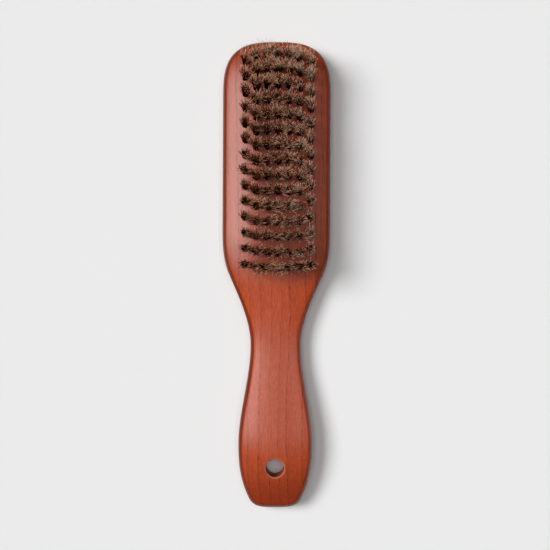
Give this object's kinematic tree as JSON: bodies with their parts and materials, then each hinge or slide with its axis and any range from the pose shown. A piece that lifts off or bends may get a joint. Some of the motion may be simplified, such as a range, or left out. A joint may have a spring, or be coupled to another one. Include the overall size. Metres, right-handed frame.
{
  "type": "hair club brush",
  "caption": "One-piece wooden hair brush with a long rounded head of drilled natural bristle tufts, a narrow neck, a swelling grip and a hanging hole.",
  "frame": {"origin": "on the surface that the brush lies on, under the middle of its length and width", "axes": "+Y along the brush from the butt to the head's tip, +Z out of the bristle face, +X to the right when the bristles face the viewer and the head is up"},
  "size_m": [0.051, 0.221, 0.033],
  "materials": {
    "lacquered_wood": "satin",
    "boar_bristle": "matte",
    "anchor_wire": "satin"
  },
  "bodies": {
    "root": {"body": "lacquered_wood", "tuft_row_01": "boar_bristle", "tuft_row_02": "boar_bristle", "tuft_row_03": "boar_bristle", "tuft_row_04": "boar_bristle", "tuft_row_05": "boar_bristle", "tuft_row_06": "boar_bristle", "tuft_row_07": "boar_bristle", "tuft_row_08": "boar_bristle", "tuft_row_09": "boar_bristle", "tuft_row_10": "boar_bristle", "tuft_row_11": "boar_bristle", "tuft_row_12": "boar_bristle", "tuft_row_13": "boar_bristle", "tuft_row_14": "boar_bristle", "tuft_row_15": "boar_bristle", "anchor_row_01": "anchor_wire", "anchor_row_02": "anchor_wire", "anchor_row_03": "anchor_wire", "anchor_row_04": "anchor_wire", "anchor_row_05": "anchor_wire", "anchor_row_06": "anchor_wire", "anchor_row_07": "anchor_wire", "anchor_row_08": "anchor_wire", "anchor_row_09": "anchor_wire", "anchor_row_10": "anchor_wire", "anchor_row_11": "anchor_wire", "anchor_row_12": "anchor_wire", "anchor_row_13": "anchor_wire", "anchor_row_14": "anchor_wire", "anchor_row_15": "anchor_wire"}
  },
  "joints": []
}
